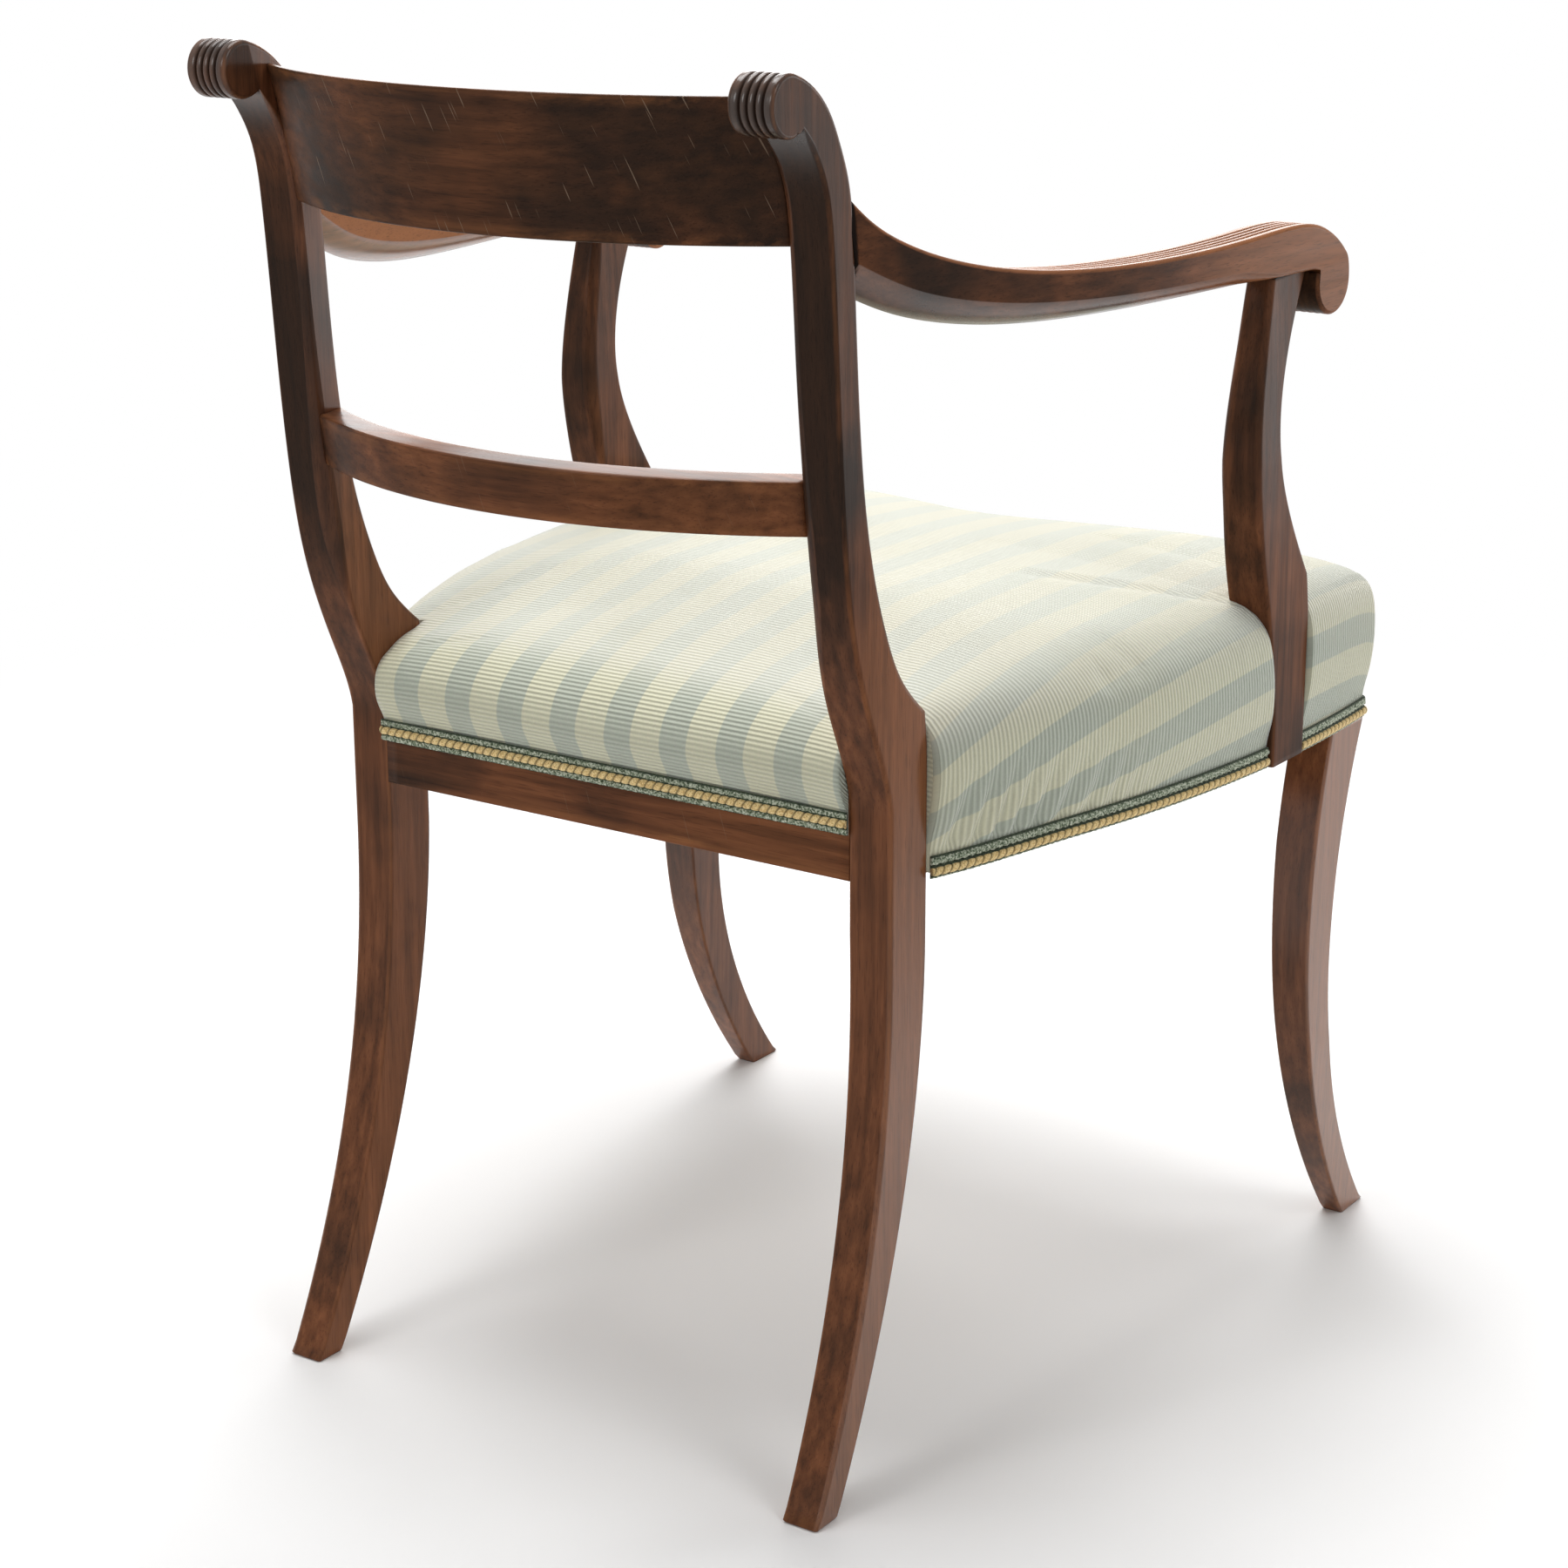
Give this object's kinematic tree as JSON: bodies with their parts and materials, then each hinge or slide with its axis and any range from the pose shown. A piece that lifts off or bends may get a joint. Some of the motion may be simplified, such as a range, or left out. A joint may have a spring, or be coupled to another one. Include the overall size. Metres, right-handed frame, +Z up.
{
  "type": "carver chair",
  "caption": "Open wooden armchair with sabre legs, a bowed scroll-ended back, swept arms with scrolled ends and a padded striped seat edged with braid.",
  "frame": {"origin": "on the floor, at the middle of the plan box", "axes": "+Z up, the chair faces -Y, +X is the sitter's left"},
  "size_m": [0.562, 0.6754, 0.85],
  "materials": {
    "mahogany": "old waxed polish, worn on the edges",
    "beech": "bare sawn wood",
    "screw_steel": "dull",
    "tack_iron": "blued",
    "webbing": "woven jute",
    "hessian": "open plain weave",
    "stuffing": "curled hair",
    "striped_cloth": "ribbed woven stripe",
    "gimp": "braid with a raised cord"
  },
  "bodies": {
    "root": {"rear_leg_left": "mahogany", "rear_leg_right": "mahogany", "front_leg_left": "mahogany", "front_leg_right": "mahogany", "crest_rail": "mahogany", "mid_rail": "mahogany", "back_seat_rail": "mahogany", "arm_left": "mahogany", "arm_right": "mahogany", "arm_support_left": "mahogany", "arm_support_right": "mahogany", "front_seat_rail": "beech", "side_seat_rail_left": "beech", "side_seat_rail_right": "beech", "corner_block_front_left": "beech", "corner_block_front_right": "beech", "corner_block_rear_left": "beech", "corner_block_rear_right": "beech", "corner_block_screws": "screw_steel", "arm_support_screws": "screw_steel", "webbing_tacks": "tack_iron", "cover_tacks": "tack_iron", "webbing_front_to_back": "webbing", "webbing_side_to_side": "webbing", "hessian": "hessian", "seat_stuffing": "stuffing", "seat_cover": "striped_cloth", "gimp_back": "gimp", "gimp_left": "gimp", "gimp_right": "gimp", "gimp_front": "gimp"}
  },
  "joints": []
}
